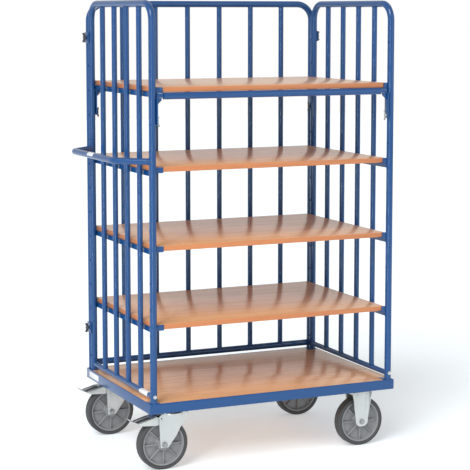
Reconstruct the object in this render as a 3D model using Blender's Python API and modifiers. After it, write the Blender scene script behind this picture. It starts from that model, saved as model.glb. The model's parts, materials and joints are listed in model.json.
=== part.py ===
"""Shelved roll container: a wheeled deck with three barred walls, four shelves and a push handle.

Units are metres, +Z is up, the floor is z = 0. The open loading side faces -Y and the handle end
faces -X. Lengths are laid out from the middle of the deck, and one empty shifts the whole object
so that the middle of its outer box stands over the world origin.
"""

from math import cos, pi, radians, sin

import bmesh
import bpy
from mathutils import Vector

# Whole object
HEIGHT = 1.800
MIDDLE_TO_ORIGIN = 0.04625

# Deck: a steel frame with a board let into it, flush with the top
DECK_LENGTH = 1.060
DECK_WIDTH = 0.720
DECK_TOP = 0.275
FRAME_HEIGHT = 0.040
FRAME_RIM = 0.004
CORNER_X = 0.045
CORNER_Y = 0.057
CASTER_BAY = 0.176
RAIL_WIDTH = 0.045
CROSS_WIDTH = 0.050
BOARD = 0.019
GAP = 0.0003

# Walls: round tube arches with bars and a bottom rail
TUBE = 0.0269
BAR = 0.0213
POST_X = 0.5095
FRONT_POST_Y = -0.3450
REAR_POST_Y = 0.3228
BACK_WALL_Y = 0.3500
BEND = 0.068
END_BARS = 4
BACK_BARS = 6
BACK_BAR_PITCH = 0.14557
BOTTOM_RAIL_Z = 0.299
TUBE_SIDES = 4
BEND_STEPS = 6

# Push handle
HANDLE_Z = 1.197
HANDLE_TUBE = 0.025
GRIP_X = -0.625
GRIP_FRONT_Y = -0.240
GRIP_REAR_Y = 0.218
HANDLE_BEND = 0.025
HANDLE_BEND_STEPS = 4

# Shelves, lowest first
SHELF_TOPS = (0.575, 0.875, 1.175, 1.475)
SHELF_HALF = 0.4920
SHELF_FRONT = -0.3410
SHELF_BACK = 0.3380
RAIL_OUT = 0.4957
RAIL_FLANGE = 0.0300
RAIL_SHEET = 0.0030
RAIL_DROP = 0.0200
TAB_LEFT = 0.0295
TAB_RIGHT = 0.0165
TOP_FLANGE_FRONT = -0.328

# Cross tube and hangers under the top shelf
CROSS_TUBE_END = 0.4640
CROSS_TUBE_SHIFT = 0.001
ARM_HALF = 0.006
ARM_LAP = 0.010
ARM_RISE = 0.00945
ARM_GAP = 0.0005
HANGER_TOP = 1.4355
HANGER_FOOT = 1.3350
HANGER_WIDTH = 0.030
HANGER_SHEET = 0.004
GUSSET = 0.024
GUSSET_DROP = 0.031
GUSSET_SHEET = 0.005
HANGER_NUT_DEPTH = 0.012
HANGER_NUT_Z = 1.346
NUT_GRIP = 0.020
NUT_HUB_RADIUS = 0.0075
NUT_HUB_SHARE = 0.65
NUT_WING_START = 0.25
NUT_WING_HALF = 0.0015

# Lugs and wing nuts that clamp the back wall to the end walls
LUG_HEIGHTS = (0.450, 1.650)
LUG_SHEET = 0.003
LUG_LAP = 0.010
LUG_HALF = 0.022
WALL_NUT_OUT = 0.545
FOOT_BOLT_Z = 0.301
FOOT_BOLT_RADIUS = 0.0065
HEXAGON = 6

# Casters
WHEEL_RADIUS = 0.100
TYRE_INNER = 0.0845
TYRE_HALF = 0.022
HUB_RADIUS = 0.026
HUB_HALF = 0.025
AXLE_RADIUS = 0.006
AXLE_PLAY = 0.00008
AXLE_HEAD = 0.007
AXLE_HEAD_RADIUS = 0.011
TYRE_SHOULDER = 0.004
TYRE_ROUNDING = 0.006
RIM_WALL = 0.008
DISC_HALF = 0.005
ROUND_STEPS = 32
FORK_OUTER = 0.032
FORK_SHEET = 0.004
CASTER_X = 0.4115
SWIVEL_TRAIL = 0.041
FRONT_SWIVEL_Y = -0.284
REAR_SWIVEL_Y = 0.300
FIXED_Y = 0.279
DECK_UNDER = DECK_TOP - FRAME_HEIGHT
PLATE_SHEET = 0.006
CROWN_TOP = 0.2220
CROWN_BOTTOM = 0.2120
CROWN_STEP = 0.0005
SWIVEL_CROWN = (-0.0105, 0.0980)
FIXED_CROWN = (-0.0420, 0.0420)
SWIVEL_PLATE_HALF = 0.052
FIXED_PLATE_HALF = 0.070
PLATE_HALF_Y = 0.0425
RACE_RADIUS = 0.034
PIVOT_X = -0.0135
PIVOT_Z = 0.104
PIVOT_RADIUS = 0.003
PEDAL_PLAY = 0.0006
CHEEK_SHEET = 0.0024

BLUE = (0.020, 0.105, 0.330, 1.0)
BEECH = (0.640, 0.400, 0.250, 1.0)
ZINC = (0.700, 0.710, 0.700, 1.0)
RUBBER = (0.070, 0.072, 0.075, 1.0)
NYLON = (0.230, 0.240, 0.245, 1.0)


def clear_scene():
    for old in list(bpy.data.objects):
        bpy.data.objects.remove(old)


def new_collection(name):
    collection = bpy.data.collections.new(name)
    bpy.context.scene.collection.children.link(collection)
    return collection


def new_material(name, colour, roughness, metallic):
    material = bpy.data.materials.new(name)
    material.use_nodes = True
    shader = material.node_tree.nodes["Principled BSDF"]
    shader.inputs["Base Color"].default_value = colour
    shader.inputs["Roughness"].default_value = roughness
    shader.inputs["Metallic"].default_value = metallic
    return material


clear_scene()
PARTS = new_collection("roll_container")
TOOLS = new_collection("joined_and_cut_shapes")
ORIGIN = bpy.data.objects.new("middle_of_deck", None)
ORIGIN.location = (MIDDLE_TO_ORIGIN, 0, 0)
PARTS.objects.link(ORIGIN)

PAINT = new_material("blue_powder_coat", BLUE, 0.35, 0.0)
WOOD = new_material("beech_laminate", BEECH, 0.40, 0.0)
PLATED = new_material("zinc_plate", ZINC, 0.35, 1.0)
TREAD = new_material("grey_rubber", RUBBER, 0.80, 0.0)
PLASTIC = new_material("grey_nylon", NYLON, 0.50, 0.0)


def add(name, mesh, parent=ORIGIN, location=(0, 0, 0)):
    obj = bpy.data.objects.new(name, mesh)
    obj.parent = parent
    obj.location = location
    TOOLS.objects.link(obj)
    obj.hide_render = True
    obj.display_type = "WIRE"
    return obj


def keep(obj, name, material):
    """Makes a finished shape one of the object's sub-parts."""
    TOOLS.objects.unlink(obj)
    PARTS.objects.link(obj)
    obj.hide_render = False
    obj.display_type = "TEXTURED"
    obj.name = name
    obj.data.materials.clear()
    obj.data.materials.append(material)
    obj.data.shade_smooth()
    obj.data.set_sharp_from_angle(angle=radians(35))
    return obj


def box(low, high, parent=ORIGIN, location=(0, 0, 0)):
    low = Vector(low)
    high = Vector(high)
    bm = bmesh.new()
    bmesh.ops.create_cube(bm, size=1.0)
    for corner in bm.verts:
        corner.co = (low + high) / 2 + corner.co * (high - low)
    mesh = bpy.data.meshes.new("box")
    bm.to_mesh(mesh)
    bm.free()
    return add("box", mesh, parent, location)


def rod(start, end, radius, sides=12, parent=ORIGIN, location=(0, 0, 0)):
    """A round bar between two points."""
    start = Vector(start)
    end = Vector(end)
    along = end - start
    bm = bmesh.new()
    bmesh.ops.create_cone(
        bm, cap_ends=True, segments=sides, radius1=radius, radius2=radius, depth=along.length
    )
    turn = Vector((0, 0, 1)).rotation_difference(along)
    for corner in bm.verts:
        corner.co = (start + end) / 2 + turn @ corner.co
    mesh = bpy.data.meshes.new("rod")
    bm.to_mesh(mesh)
    bm.free()
    return add("rod", mesh, parent, location)


def solid_from_curve(curve, parent, location, rotation=(0, 0, 0)):
    """Turns a curve with caps into one closed mesh in the same place."""
    holder = bpy.data.objects.new("curve", curve)
    TOOLS.objects.link(holder)
    graph = bpy.context.evaluated_depsgraph_get()
    mesh = bpy.data.meshes.new_from_object(holder.evaluated_get(graph))
    bm = bmesh.new()
    bm.from_mesh(mesh)
    bmesh.ops.remove_doubles(bm, verts=bm.verts, dist=0.00001)
    bmesh.ops.dissolve_limit(bm, angle_limit=radians(0.1), verts=bm.verts, edges=bm.edges)
    bmesh.ops.recalc_face_normals(bm, faces=bm.faces)
    bm.to_mesh(mesh)
    bm.free()
    bpy.data.objects.remove(holder)
    obj = add("solid", mesh, parent, location)
    obj.rotation_euler = rotation
    return obj


def tube(points, diameter, parent=ORIGIN, location=(0, 0, 0)):
    curve = bpy.data.curves.new("tube", "CURVE")
    curve.dimensions = "3D"
    curve.bevel_depth = diameter / 2
    curve.bevel_resolution = TUBE_SIDES
    curve.use_fill_caps = True
    spline = curve.splines.new("POLY")
    spline.points.add(len(points) - 1)
    for control, point in zip(spline.points, points):
        control.co = (*point, 1)
    return solid_from_curve(curve, parent, location)


def sheet(outline, thickness, parent=ORIGIN, location=(0, 0, 0), rotation=(0, 0, 0)):
    """A flat outline given a thickness, half to each side."""
    curve = bpy.data.curves.new("sheet", "CURVE")
    curve.dimensions = "2D"
    curve.fill_mode = "BOTH"
    curve.extrude = thickness / 2
    spline = curve.splines.new("POLY")
    spline.points.add(len(outline) - 1)
    for control, point in zip(spline.points, outline):
        control.co = (*point, 0, 1)
    spline.use_cyclic_u = True
    return solid_from_curve(curve, parent, location, rotation)


def upright_sheet(outline, y, thickness, parent=ORIGIN, location=(0, 0, 0)):
    """A sheet whose outline is given in X and Z and which stands at y."""
    place = Vector(location) + Vector((0, y, 0))
    return sheet(outline, thickness, parent, place, (pi / 2, 0, 0))


def turned(profile, parent, location, steps=ROUND_STEPS):
    """A closed profile of radius and width, turned about the Y axis."""
    mesh = bpy.data.meshes.new("turned")
    corners = [(radius, 0, across) for radius, across in profile]
    sides = [(n, (n + 1) % len(corners)) for n in range(len(corners))]
    mesh.from_pydata(corners, sides, [])
    obj = add("turned", mesh, parent, location)
    obj.rotation_euler = (pi / 2, 0, 0)
    screw = obj.modifiers.new("turn", "SCREW")
    screw.steps = steps
    screw.render_steps = steps
    screw.use_merge_vertices = True
    screw.merge_threshold = 0.0001
    return obj


def combine(base, others, operation):
    for other in others:
        boolean = base.modifiers.new(operation.lower(), "BOOLEAN")
        boolean.operation = operation
        boolean.solver = "EXACT"
        boolean.object = other
    return base


def join(base, others):
    return combine(base, others, "UNION")


def cut(base, others):
    return combine(base, others, "DIFFERENCE")


def quarter(centre, radius, start):
    """Points of a quarter circle in a plane, from the angle start."""
    angles = [start - n * pi / 2 / BEND_STEPS for n in range(BEND_STEPS + 1)]
    return [(centre[0] + radius * cos(a), centre[1] + radius * sin(a)) for a in angles]


def arch(low, high, foot_z):
    """The centre line of an arch in a plane of width and height."""
    top = HEIGHT - TUBE / 2
    rise = quarter((low + BEND, top - BEND), BEND, pi)
    fall = quarter((high - BEND, top - BEND), BEND, pi / 2)
    return [(low, foot_z), *rise, *fall, (high, foot_z)]


def end_wall(side, name):
    x = side * POST_X
    top = HEIGHT - TUBE / 2
    line = arch(FRONT_POST_Y, REAR_POST_Y, DECK_TOP + GAP)
    wall = tube([(x, y, z) for y, z in line], TUBE)
    rail_radius = BAR / 2 + GAP
    rail = rod((x, FRONT_POST_Y, BOTTOM_RAIL_Z), (x, REAR_POST_Y, BOTTOM_RAIL_Z), rail_radius)
    pitch = (REAR_POST_Y - FRONT_POST_Y) / (END_BARS + 1)
    bars = []
    for n in range(1, END_BARS + 1):
        y = FRONT_POST_Y + n * pitch
        bars.append(rod((x, y, BOTTOM_RAIL_Z), (x, y, top), BAR / 2))
    return keep(join(wall, [rail, *bars]), name, PAINT)


def back_wall():
    y = BACK_WALL_Y
    top = HEIGHT - TUBE / 2
    line = arch(-POST_X, POST_X, DECK_TOP + GAP)
    wall = tube([(x, y, z) for x, z in line], TUBE)
    rail = rod((-POST_X, y, BOTTOM_RAIL_Z), (POST_X, y, BOTTOM_RAIL_Z), TUBE / 2 - GAP)
    bars = []
    for n in range(BACK_BARS):
        x = (n - (BACK_BARS - 1) / 2) * BACK_BAR_PITCH
        bars.append(rod((x, y, BOTTOM_RAIL_Z), (x, y, top), BAR / 2))
    return keep(join(wall, [rail, *bars]), "back_wall", PAINT)


def notched(half_x, half_y, notch_x, notch_y):
    """A rectangle with a rectangle missing at each corner."""
    ring = []
    for sx, sy in ((1, 1), (-1, 1), (-1, -1), (1, -1)):
        corner = [
            (sx * half_x, sy * (half_y - notch_y)),
            (sx * (half_x - notch_x), sy * (half_y - notch_y)),
            (sx * (half_x - notch_x), sy * half_y),
        ]
        ring += corner if sx * sy > 0 else corner[::-1]
    return ring


def deck():
    half_x = DECK_LENGTH / 2
    half_y = DECK_WIDTH / 2
    frame = box((-half_x, -half_y, DECK_UNDER), (half_x, half_y, DECK_TOP))
    inner_x = half_x - FRAME_RIM
    inner_y = half_y - FRAME_RIM
    floor = DECK_TOP - BOARD - GAP
    above = DECK_TOP + BOARD
    plate_y = half_y - CORNER_Y
    plate_x = half_x - CORNER_X
    pockets = [
        box((-inner_x, -plate_y, floor), (inner_x, plate_y, above)),
        box((-plate_x, -inner_y, floor - GAP), (plate_x, inner_y, above)),
    ]
    windows = []
    for side in (-1, 1):
        near = side * CROSS_WIDTH / 2
        far = side * (half_x - CASTER_BAY)
        reach = half_y - RAIL_WIDTH
        low = (min(near, far), -reach, DECK_UNDER - BOARD)
        high = (max(near, far), reach, DECK_TOP - BOARD / 2)
        windows.append(box(low, high))
    keep(cut(frame, [*windows, *pockets]), "deck_frame", PAINT)
    outline = notched(
        inner_x - GAP, inner_y - GAP, CORNER_X - FRAME_RIM, CORNER_Y - FRAME_RIM
    )
    board = sheet(outline, BOARD, location=(0, 0, DECK_TOP - BOARD / 2))
    keep(board, "deck_board", WOOD)


def push_handle():
    """A grip with two slanted legs, welded to the posts of the handle end."""
    grip = [Vector((GRIP_X, GRIP_FRONT_Y, HANDLE_Z)), Vector((GRIP_X, GRIP_REAR_Y, HANDLE_Z))]
    posts = [Vector((-POST_X, FRONT_POST_Y, HANDLE_Z)), Vector((-POST_X, REAR_POST_Y, HANDLE_Z))]
    line = []
    for corner, post, other in zip(grip, posts, grip[::-1]):
        slope = (corner - post).normalized()
        start = post + slope * (TUBE / 2 + GAP)
        along = (other - corner).normalized()
        before = corner - slope * HANDLE_BEND
        after = corner + along * HANDLE_BEND
        shares = [n / HANDLE_BEND_STEPS for n in range(HANDLE_BEND_STEPS + 1)]
        bend = [(1 - t) ** 2 * before + 2 * t * (1 - t) * corner + t * t * after for t in shares]
        line.append([start, *bend])
    keep(tube([*line[0], *line[1][::-1]], HANDLE_TUBE), "push_handle", PAINT)


def shelf(number, top):
    """A board on an angle at each end, whose front tab covers the board's corner."""
    under = top - BOARD
    board = box((-SHELF_HALF, SHELF_FRONT, under), (SHELF_HALF, SHELF_BACK, top))
    keep(board, f"shelf_{number}_board", WOOD)
    is_top = top == SHELF_TOPS[-1]
    tab_front = SHELF_FRONT - GAP - RAIL_SHEET
    for side, end, tab in ((-1, "left", TAB_LEFT), (1, "right", TAB_RIGHT)):
        outer = side * RAIL_OUT
        inner = side * (RAIL_OUT - RAIL_SHEET)
        lip = side * (RAIL_OUT - RAIL_FLANGE)
        flange_front = TOP_FLANGE_FRONT if is_top else tab_front
        web = span_box(outer, inner, tab_front, SHELF_BACK, under - RAIL_DROP, under - GAP)
        flange = span_box(
            outer, lip, flange_front, SHELF_BACK, under - GAP - RAIL_SHEET, under - GAP
        )
        corner = span_box(outer, side * (RAIL_OUT - tab), tab_front, SHELF_FRONT - GAP,
                          under - GAP - RAIL_SHEET, top)
        keep(join(web, [flange, corner]), f"shelf_{number}_rail_{end}", PAINT)


def span_box(x0, x1, y0, y1, z0, z1):
    """A box between two X values given in either order."""
    return box((min(x0, x1), y0, z0), (max(x0, x1), y1, z1))


def top_cross_tube():
    """The front tube under the top shelf, with a flat arm to each post."""
    z = SHELF_TOPS[-1] - BOARD - GAP - TUBE / 2
    y = FRONT_POST_Y + CROSS_TUBE_SHIFT
    body = rod((-CROSS_TUBE_END, y, z), (CROSS_TUBE_END, y, z), TUBE / 2)
    arms = []
    for side in (-1, 1):
        inner = side * (CROSS_TUBE_END - ARM_LAP)
        outer = side * (RAIL_OUT - RAIL_SHEET - GAP)
        arms.append(
            span_box(inner, outer, y - ARM_HALF, y + ARM_HALF, HANGER_TOP + ARM_GAP, z + ARM_RISE)
        )
    keep(join(body, arms), "top_cross_tube", PAINT)


def hangers():
    """Strips that hang inside the posts and take the top shelf's load."""
    for side, end in ((-1, "left"), (1, "right")):
        for post_y, face in ((FRONT_POST_Y, "front"), (REAR_POST_Y, "rear")):
            outer = side * RAIL_OUT
            inner = side * (RAIL_OUT - HANGER_SHEET)
            half = HANGER_WIDTH / 2
            strip = span_box(outer, inner, post_y - half, post_y + half, HANGER_FOOT, HANGER_TOP)
            root = side * (RAIL_OUT - HANGER_SHEET / 2)
            slope = [
                (root, HANGER_TOP - GUSSET_DROP),
                (root, HANGER_TOP - GAP),
                (side * (RAIL_OUT - GUSSET), HANGER_TOP - GAP),
            ]
            web = upright_sheet(slope, post_y, GUSSET_SHEET)
            keep(join(strip, [web]), f"hanger_{face}_{end}", PAINT)
            nut_face = side * (RAIL_OUT - HANGER_SHEET - GAP)
            wing_nut(f"hanger_nut_{face}_{end}", nut_face, -side, post_y, HANGER_NUT_Z, HANGER_NUT_DEPTH)


def wing_nut(name, face_x, out, y, z, depth):
    """A round hub with two flat wings, its bolt axis along X."""
    hub_end = face_x + out * depth * NUT_HUB_SHARE
    hub = rod((face_x, y, z), (hub_end, y, z), NUT_HUB_RADIUS)
    start = face_x + out * depth * NUT_WING_START
    wings = span_box(
        start, face_x + out * depth, y - NUT_WING_HALF, y + NUT_WING_HALF, z - NUT_GRIP, z + NUT_GRIP
    )
    return keep(join(hub, [wings]), name, PLATED)


def wall_clamps():
    """Lug plates across the paired rear posts, each with a wing nut outside."""
    face = POST_X + TUBE / 2 + GAP
    for side, end in ((-1, "left"), (1, "right")):
        for z, level in zip(LUG_HEIGHTS, ("lower", "upper")):
            lug = span_box(
                side * face, side * (face + LUG_SHEET), REAR_POST_Y - LUG_LAP, BACK_WALL_Y + LUG_LAP,
                z - LUG_HALF, z + LUG_HALF,
            )
            keep(lug, f"wall_lug_{level}_{end}", PAINT)
            nut_face = side * (face + LUG_SHEET + GAP)
            depth = WALL_NUT_OUT - abs(nut_face)
            middle = (REAR_POST_Y + BACK_WALL_Y) / 2
            wing_nut(f"wall_nut_{level}_{end}", nut_face, side, middle, z, depth)


def foot_bolts():
    """Bolt heads at the foot of the front posts."""
    face = FRONT_POST_Y - TUBE / 2 - GAP
    head = -(BACK_WALL_Y + TUBE / 2)
    for side, end in ((-1, "left"), (1, "right")):
        x = side * POST_X
        bolt = rod((x, face, FOOT_BOLT_Z), (x, head, FOOT_BOLT_Z), FOOT_BOLT_RADIUS, HEXAGON)
        keep(bolt, f"foot_bolt_{end}", PLATED)


def empty_at(name, location, parent=ORIGIN):
    holder = bpy.data.objects.new(name, None)
    holder.parent = parent
    holder.location = location
    PARTS.objects.link(holder)
    return holder


def wheel(tag, axle):
    """A rubber tyre on a nylon rim, turning on a fixed axle."""
    rim_half = TYRE_HALF - TYRE_SHOULDER
    tyre_ring = [
        (TYRE_INNER + GAP, rim_half),
        (WHEEL_RADIUS - TYRE_SHOULDER, TYRE_HALF),
        (WHEEL_RADIUS, TYRE_HALF - TYRE_ROUNDING),
        (WHEEL_RADIUS, TYRE_ROUNDING - TYRE_HALF),
        (WHEEL_RADIUS - TYRE_SHOULDER, -TYRE_HALF),
        (TYRE_INNER + GAP, -rim_half),
    ]
    tyre = turned(tyre_ring, axle, (0, 0, 0), 2 * ROUND_STEPS)
    keep(tyre, f"tyre_{tag}", TREAD)
    bore = AXLE_RADIUS + AXLE_PLAY
    half_rim = [
        (HUB_RADIUS, HUB_HALF),
        (HUB_RADIUS, DISC_HALF),
        (TYRE_INNER - RIM_WALL, DISC_HALF),
        (TYRE_INNER - RIM_WALL, rim_half),
        (TYRE_INNER, rim_half),
    ]
    profile = [(bore, HUB_HALF), *half_rim]
    profile += [(radius, -across) for radius, across in reversed(half_rim)]
    profile += [(bore, -HUB_HALF)]
    rim = turned(profile, axle, (0, 0, 0))
    keep(rim, f"rim_{tag}", PLASTIC)


def axle_bolt(tag, axle):
    """The wheel's axle, with a hexagon head and a nut outside the fork."""
    out = FORK_OUTER + GAP
    reach = out + AXLE_HEAD / 2
    shaft = rod((0, -reach, 0), (0, reach, 0), AXLE_RADIUS, ROUND_STEPS, axle)
    ends = []
    for side in (-1, 1):
        start = (0, side * out, 0)
        end = (0, side * (out + AXLE_HEAD), 0)
        ends.append(rod(start, end, AXLE_HEAD_RADIUS, HEXAGON, axle))
    keep(join(shaft, ends), f"axle_{tag}", PLATED)


def fork(tag, axle, outline, crown_reach, pins=()):
    """Two side sheets and a crown, cut for the axle."""
    middle = FORK_OUTER - FORK_SHEET / 2
    near = upright_sheet(outline, -middle, FORK_SHEET, axle)
    far = upright_sheet(outline, middle, FORK_SHEET, axle)
    half = FORK_OUTER - CROWN_STEP
    crown = box(
        (crown_reach[0], -half, CROWN_BOTTOM - WHEEL_RADIUS),
        (crown_reach[1], half, CROWN_TOP - WHEEL_RADIUS - CROWN_STEP), axle,
    )
    holes = []
    for x, z, radius in ((0, 0, AXLE_RADIUS + GAP), *pins):
        holes.append(rod((x, -2 * half, z), (x, 2 * half, z), radius, ROUND_STEPS, axle))
    cut(join(near, [far, crown]), holes)
    keep(near, f"fork_{tag}", PLATED)


def mounting_plate(tag, centre, half_x, rings=()):
    """The plate bolted under the deck, with the bearing ring of a swivel caster."""
    top = DECK_UNDER - GAP
    low = (-half_x, -PLATE_HALF_Y, top - PLATE_SHEET)
    plate = box(low, (half_x, PLATE_HALF_Y, top), centre)
    keep(join(plate, rings), f"caster_plate_{tag}", PLATED)


def brake_pedal(tag, pivot):
    """A pedal plate with two cheeks that reach inside the fork to its pivot."""
    outer = FORK_OUTER - FORK_SHEET - PEDAL_PLAY
    cheek = [
        (-0.0960, -0.0150),
        (-0.0780, -0.0230),
        (-0.0150, -0.0270),
        (0.0080, -0.0160),
        (0.0120, 0.0000),
        (0.0060, 0.0050),
        (-0.0150, 0.0050),
        (-0.0220, 0.0090),
        (-0.0440, 0.0030),
        (-0.0960, -0.0120),
    ]
    plate = [
        (-0.1190, -0.0045),
        (-0.0960, -0.0145),
        (-0.0440, -0.0005),
        (-0.0200, 0.0063),
        (-0.0200, 0.0105),
        (-0.0440, 0.0040),
        (-0.0960, -0.0105),
        (-0.1180, -0.0010),
    ]
    middle = outer - CHEEK_SHEET / 2
    top = upright_sheet(plate, 0, 2 * outer - GAP, pivot)
    cheeks = [upright_sheet(cheek, side * middle, CHEEK_SHEET, pivot) for side in (-1, 1)]
    keep(join(top, cheeks), f"brake_pedal_{tag}", PLATED)


def swivel_caster(tag, y):
    centre = empty_at(f"swivel_axis_{tag}", (-CASTER_X, y, 0))
    axle = empty_at(f"axle_line_{tag}", (-SWIVEL_TRAIL, 0, WHEEL_RADIUS), centre)
    ring = rod(
        (0, 0, CROWN_TOP + GAP), (0, 0, DECK_UNDER - PLATE_SHEET / 2), RACE_RADIUS, ROUND_STEPS, centre
    )
    mounting_plate(tag, centre, SWIVEL_PLATE_HALF, [ring])
    outline = [
        (-0.0175, -0.0110),
        (0.0145, -0.0110),
        (0.0475, 0.0320),
        (0.0665, 0.0670),
        (0.0805, 0.0840),
        (0.0985, 0.1160),
        (0.0985, 0.1220),
        (-0.0110, 0.1220),
        (-0.0225, 0.1120),
        (-0.0225, 0.0740),
    ]
    fork(tag, axle, outline, SWIVEL_CROWN, ((PIVOT_X, PIVOT_Z, PIVOT_RADIUS),))
    wheel(tag, axle)
    axle_bolt(tag, axle)
    pivot = empty_at(f"pedal_pivot_{tag}", (PIVOT_X, 0, PIVOT_Z), axle)
    brake_pedal(tag, pivot)


def fixed_caster(tag, y):
    centre = empty_at(f"caster_centre_{tag}", (CASTER_X, y, 0))
    axle = empty_at(f"axle_line_{tag}", (0, 0, WHEEL_RADIUS), centre)
    half = [(0.0120, -0.0195), (0.0260, -0.0080), (0.0350, 0.0680), (0.0430, 0.1220)]
    outline = [*half, *[(-x, z) for x, z in reversed(half)]]
    fork(tag, axle, outline, FIXED_CROWN)
    mounting_plate(tag, centre, FIXED_PLATE_HALF)
    wheel(tag, axle)
    axle_bolt(tag, axle)


deck()
end_wall(-1, "left_end_wall")
end_wall(1, "right_end_wall")
back_wall()
push_handle()
for number, top in enumerate(SHELF_TOPS, 1):
    shelf(number, top)
top_cross_tube()
hangers()
wall_clamps()
foot_bolts()
swivel_caster("front_left", FRONT_SWIVEL_Y)
swivel_caster("rear_left", REAR_SWIVEL_Y)
fixed_caster("front_right", -FIXED_Y)
fixed_caster("rear_right", FIXED_Y)
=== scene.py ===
"""The looks of a shelved roll container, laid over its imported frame. Units are metres."""

import json
from math import atan2, cos, pi, radians, sin, tan

import bpy
from mathutils import Matrix, Vector


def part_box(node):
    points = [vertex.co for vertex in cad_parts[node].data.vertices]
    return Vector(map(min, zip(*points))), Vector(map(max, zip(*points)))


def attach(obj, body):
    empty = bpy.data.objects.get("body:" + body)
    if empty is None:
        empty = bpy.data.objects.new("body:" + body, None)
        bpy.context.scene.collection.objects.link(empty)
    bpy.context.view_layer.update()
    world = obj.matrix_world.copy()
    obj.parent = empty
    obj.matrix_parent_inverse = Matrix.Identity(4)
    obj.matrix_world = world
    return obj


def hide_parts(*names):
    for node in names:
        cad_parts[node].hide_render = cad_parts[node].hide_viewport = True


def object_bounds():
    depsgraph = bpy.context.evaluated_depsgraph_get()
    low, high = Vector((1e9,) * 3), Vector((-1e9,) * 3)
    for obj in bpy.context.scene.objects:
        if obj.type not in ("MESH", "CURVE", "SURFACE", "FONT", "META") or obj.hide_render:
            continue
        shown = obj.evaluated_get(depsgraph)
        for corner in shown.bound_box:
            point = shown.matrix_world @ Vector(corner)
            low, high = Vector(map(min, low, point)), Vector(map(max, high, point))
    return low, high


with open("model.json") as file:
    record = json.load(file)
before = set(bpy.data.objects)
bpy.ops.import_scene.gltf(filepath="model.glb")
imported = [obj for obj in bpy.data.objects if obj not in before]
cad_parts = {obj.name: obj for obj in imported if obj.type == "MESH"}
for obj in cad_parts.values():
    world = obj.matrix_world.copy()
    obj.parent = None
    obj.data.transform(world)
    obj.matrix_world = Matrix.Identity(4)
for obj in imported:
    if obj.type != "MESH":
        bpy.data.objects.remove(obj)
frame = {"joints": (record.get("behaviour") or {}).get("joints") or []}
cad_low, cad_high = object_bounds()
deck_low, deck_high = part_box("deck_frame")
MIDDLE = (deck_low.x + deck_high.x) / 2


# Camera: a long lens held a little above the handle, looking down the open front from the left.
camera = bpy.data.objects.new("camera", bpy.data.cameras.new("camera"))
camera.location = (MIDDLE - 2.7805, -6.0727, 1.7593)
camera.rotation_euler = (radians(83.87), 0, radians(-24.5))
camera.data.lens = 126.5
camera.data.sensor_width = 36
camera.data.shift_y = -0.1
camera.data.clip_end = 60
bpy.context.scene.collection.objects.link(camera)
bpy.context.scene.camera = camera


# Studio: a white backdrop, a broad sun from high on the left, a weak panel on the right and an
# upright strip that draws a bright line down each tube. The backdrop is at full strength for what
# looks straight at it and weaker for what it lights and for what mirrors it.
DIFFUSE_CHANGE = -0.60
GLOSS_CHANGE = -0.22
SUN_HEADING = (3.2, 2.6, -3.8)

scene = bpy.context.scene
scene.view_settings.view_transform = "Standard"
world = bpy.data.worlds.new("studio")
scene.world = world
world.use_nodes = True
backdrop = world.node_tree.nodes["Background"]
backdrop.inputs["Color"].default_value = (1, 1, 1, 1)
paths = world.node_tree.nodes.new("ShaderNodeLightPath")
less_diffuse = world.node_tree.nodes.new("ShaderNodeMath")
less_diffuse.operation = "MULTIPLY_ADD"
less_diffuse.inputs[1].default_value = DIFFUSE_CHANGE
less_diffuse.inputs[2].default_value = 1.0
world.node_tree.links.new(paths.outputs["Is Diffuse Ray"], less_diffuse.inputs[0])
less_gloss = world.node_tree.nodes.new("ShaderNodeMath")
less_gloss.operation = "MULTIPLY_ADD"
less_gloss.inputs[1].default_value = GLOSS_CHANGE
world.node_tree.links.new(paths.outputs["Is Glossy Ray"], less_gloss.inputs[0])
world.node_tree.links.new(less_diffuse.outputs[0], less_gloss.inputs[2])
world.node_tree.links.new(less_gloss.outputs[0], backdrop.inputs["Strength"])


def soft_light(name, place, target, width, height, power):
    light = bpy.data.objects.new(name, bpy.data.lights.new(name, "AREA"))
    light.data.shape = "RECTANGLE"
    light.data.size = width
    light.data.size_y = height
    light.data.energy = power
    light.location = place
    light.rotation_euler = (Vector(target) - Vector(place)).to_track_quat("-Z", "Y").to_euler()
    bpy.context.scene.collection.objects.link(light)


key_light = bpy.data.objects.new("key_light", bpy.data.lights.new("key_light", "SUN"))
key_light.data.energy = 1.9
key_light.data.angle = radians(34)
key_light.rotation_euler = Vector(SUN_HEADING).to_track_quat("-Z", "Y").to_euler()
bpy.context.scene.collection.objects.link(key_light)
soft_light("fill_light", (3.4, -4.5, 2.6), (0, 0, 0.8), 3.0, 3.0, 30)
soft_light("strip_light", (-2.9, -2.9, 1.4), (0, 0, 1.1), 0.14, 2.8, 34)

bpy.ops.object.select_all(action="DESELECT")
bpy.ops.mesh.primitive_plane_add(size=30, location=(0, 4, 0))
floor = bpy.context.object
floor.name = "studio_floor"
floor_paint = bpy.data.materials.new("studio_floor")
floor_paint.use_nodes = True
floor_shader = floor_paint.node_tree.nodes["Principled BSDF"]
floor_shader.inputs["Base Color"].default_value = (0.84, 0.92, 0.96, 1)
floor_shader.inputs["Emission Color"].default_value = (1, 1, 1, 1)
floor_shader.inputs["Emission Strength"].default_value = 0.35
floor_shader.inputs["Roughness"].default_value = 0.9
floor_shader.inputs["Specular IOR Level"].default_value = 0.0
floor.data.materials.append(floor_paint)


# Deck frame: a welded ring of folded steel with a ledge for the board, plates at the corners for
# the posts and channels underneath for the casters, powder coated blue in one piece.
def only(obj):
    bpy.ops.object.select_all(action="DESELECT")
    obj.select_set(True)
    bpy.context.view_layer.objects.active = obj


def settle(obj):
    only(obj)
    bpy.ops.object.transform_apply(location=True, rotation=True, scale=True)
    return obj


def block(low, high):
    low = Vector(low)
    high = Vector(high)
    bpy.ops.object.select_all(action="DESELECT")
    bpy.ops.mesh.primitive_cube_add(size=1, location=(low + high) / 2)
    obj = bpy.context.object
    obj.scale = high - low
    return settle(obj)


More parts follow.
